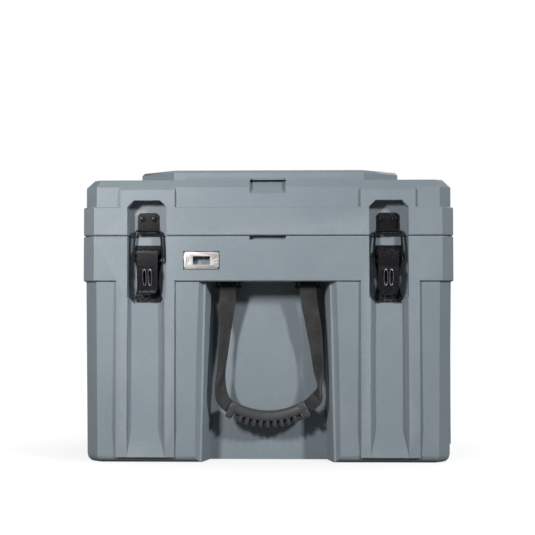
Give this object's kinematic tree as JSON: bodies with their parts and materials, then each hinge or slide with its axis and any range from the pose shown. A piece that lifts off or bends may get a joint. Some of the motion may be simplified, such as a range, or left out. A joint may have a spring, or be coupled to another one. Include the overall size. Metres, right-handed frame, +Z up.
{
  "type": "cooler on wheels",
  "caption": "Hard insulated chest cooler with a hinged lid, front draw latches, a lock plate, a webbing tow handle in a front bay, rear wheels and a side drain.",
  "frame": {"origin": "centre of the footprint, on the ground", "axes": "+X to the right of a person facing the front, -Y the way the front faces, +Z up"},
  "size_m": [0.56, 0.46, 0.446],
  "materials": {
    "shell": "matte",
    "foam": "matte",
    "seal": "matte",
    "tyre": "matte",
    "black_plastic": "matte",
    "black_steel": "satin",
    "steel": "satin",
    "webbing": "matte",
    "grip": "matte"
  },
  "bodies": {
    "root": {"body_shell": "shell", "foam_plug_left": "shell", "foam_plug_right": "shell", "hinge_body_leaf_left": "black_steel", "hinge_body_leaf_right": "black_steel", "hinge_pin_left": "steel", "hinge_pin_right": "steel", "hinge_body_screw_left_a": "steel", "hinge_body_screw_left_b": "steel", "hinge_body_screw_right_a": "steel", "hinge_body_screw_right_b": "steel", "latch_base_left": "black_steel", "latch_base_right": "black_steel", "latch_pin_left": "steel", "latch_pin_right": "steel", "lock_plate": "steel", "lock_rivet_left": "steel", "lock_rivet_right": "steel", "strap_bracket_left": "black_steel", "strap_bracket_right": "black_steel", "strap_pin_left": "steel", "strap_pin_right": "steel", "axle_left": "steel", "axle_right": "steel", "axle_washer_left": "steel", "axle_washer_right": "steel", "axle_cap_left": "steel", "axle_cap_right": "steel", "drain_bushing": "black_plastic", "drain_seal": "seal"},
    "lid": {"lid_shell": "shell", "lid_foam": "foam", "lid_gasket": "seal", "lid_foam_plug": "shell", "hinge_lid_leaf_left": "black_steel", "hinge_lid_leaf_right": "black_steel", "hinge_lid_screw_left_a": "steel", "hinge_lid_screw_left_b": "steel", "hinge_lid_screw_right_a": "steel", "hinge_lid_screw_right_b": "steel", "latch_keeper_left": "black_steel", "latch_keeper_right": "black_steel", "keeper_screw_left_a": "steel", "keeper_screw_left_b": "steel", "keeper_screw_right_a": "steel", "keeper_screw_right_b": "steel"},
    "lever_left": {"latch_lever_left": "black_steel"},
    "bail_left": {"latch_bail_left": "black_steel"},
    "lever_right": {"latch_lever_right": "black_steel"},
    "bail_right": {"latch_bail_right": "black_steel"},
    "handle": {"strap_left": "webbing", "strap_right": "webbing", "handle_grip": "grip"},
    "wheel_left": {"tyre_left": "tyre", "wheel_rim_left": "black_plastic"},
    "wheel_right": {"tyre_right": "tyre", "wheel_rim_right": "black_plastic"},
    "drain": {"drain_cap": "black_plastic"}
  },
  "joints": [
    {"name": "lid_hinge", "type": "hinge", "parent": "root", "child": "lid", "pos_m": [0, 0.225, 0.3405], "axis": [-1, 0, 0], "range_deg": [0, 100]},
    {"name": "latch_left", "type": "hinge", "parent": "root", "child": "lever_left", "pos_m": [-0.182, -0.216, 0.315], "axis": [-1, 0, 0], "range_deg": [0, 150]},
    {"name": "bail_left_pivot", "type": "hinge", "parent": "lever_left", "child": "bail_left", "pos_m": [-0.182, -0.214, 0.303], "axis": [-1, 0, 0], "range_deg": [-150, 0]},
    {"name": "latch_right", "type": "hinge", "parent": "root", "child": "lever_right", "pos_m": [0.182, -0.216, 0.315], "axis": [-1, 0, 0], "range_deg": [0, 150]},
    {"name": "bail_right_pivot", "type": "hinge", "parent": "lever_right", "child": "bail_right", "pos_m": [0.182, -0.214, 0.303], "axis": [-1, 0, 0], "range_deg": [-150, 0]},
    {"name": "handle_swing", "type": "hinge", "parent": "root", "child": "handle", "pos_m": [0, -0.196, 0.264], "axis": [-1, 0, 0], "range_deg": [-5, 90]},
    {"name": "wheel_left_spin", "type": "hinge", "parent": "root", "child": "wheel_left", "pos_m": [-0.24, 0.132, 0.085], "axis": [1, 0, 0], "continuous": true},
    {"name": "wheel_right_spin", "type": "hinge", "parent": "root", "child": "wheel_right", "pos_m": [0.24, 0.132, 0.085], "axis": [1, 0, 0], "continuous": true},
    {"name": "drain_cap_turn", "type": "hinge", "parent": "root", "child": "drain", "pos_m": [0.27, -0.03, 0.056], "axis": [1, 0, 0], "range_deg": [0, 270]}
  ],
  "couplings": [
    {"joint": "bail_left_pivot", "follows": "latch_left", "ratio": -1},
    {"joint": "bail_right_pivot", "follows": "latch_right", "ratio": -1}
  ]
}
